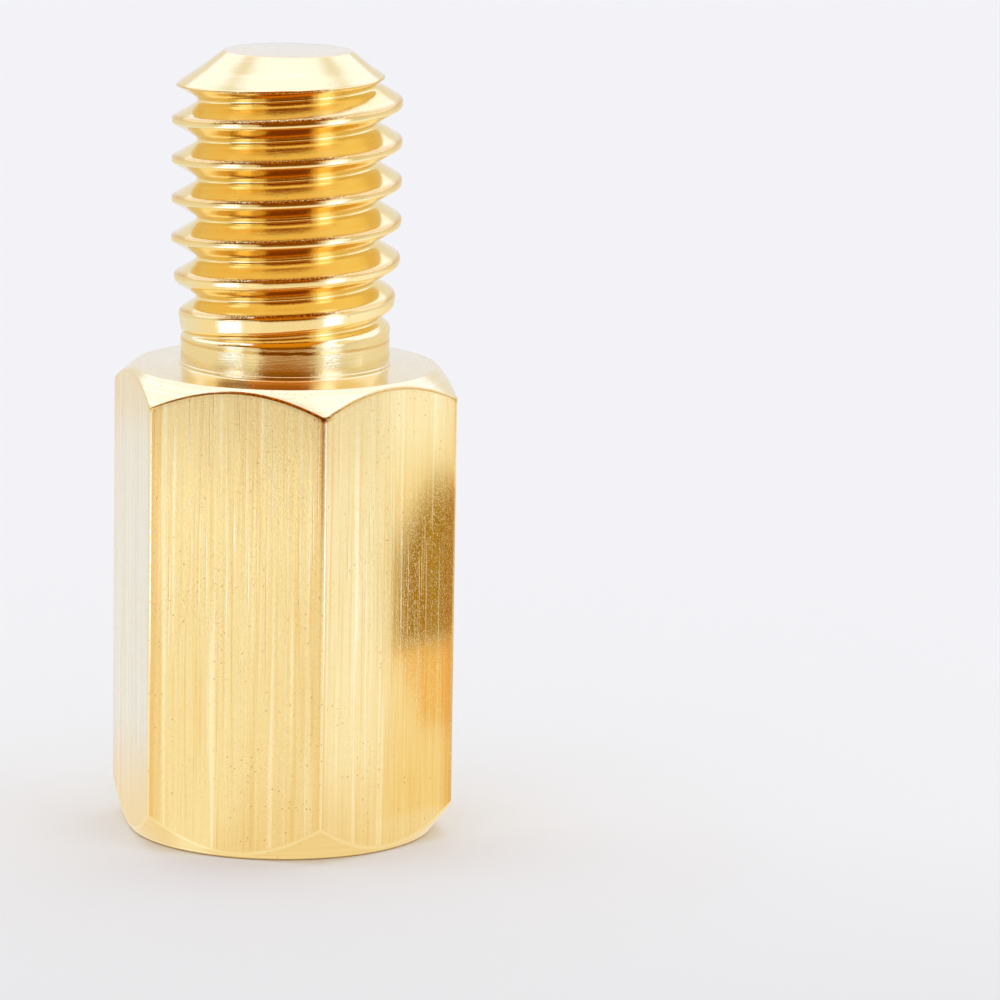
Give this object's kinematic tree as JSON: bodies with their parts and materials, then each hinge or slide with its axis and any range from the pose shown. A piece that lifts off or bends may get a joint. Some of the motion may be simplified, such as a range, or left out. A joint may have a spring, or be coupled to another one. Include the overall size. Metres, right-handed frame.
{
  "type": "hex standoff",
  "caption": "Turned brass hex standoff with a threaded stud on one end and a blind tapped hole in the other, chamfered at both ends of the hexagon.",
  "frame": {"origin": "centre of the tapped end face, on the standoff's axis", "axes": "+Z along the axis, from the tapped end towards the stud; +X through a corner of the hexagon, so a flat faces -Y"},
  "size_m": [0.009, 0.008, 0.02],
  "materials": {
    "brass": "bright free-cutting brass: drawn flats with fine lengthwise streaks, turned end faces and chamfers, rolled thread"
  },
  "bodies": {
    "root": {"standoff": "brass"}
  },
  "joints": []
}
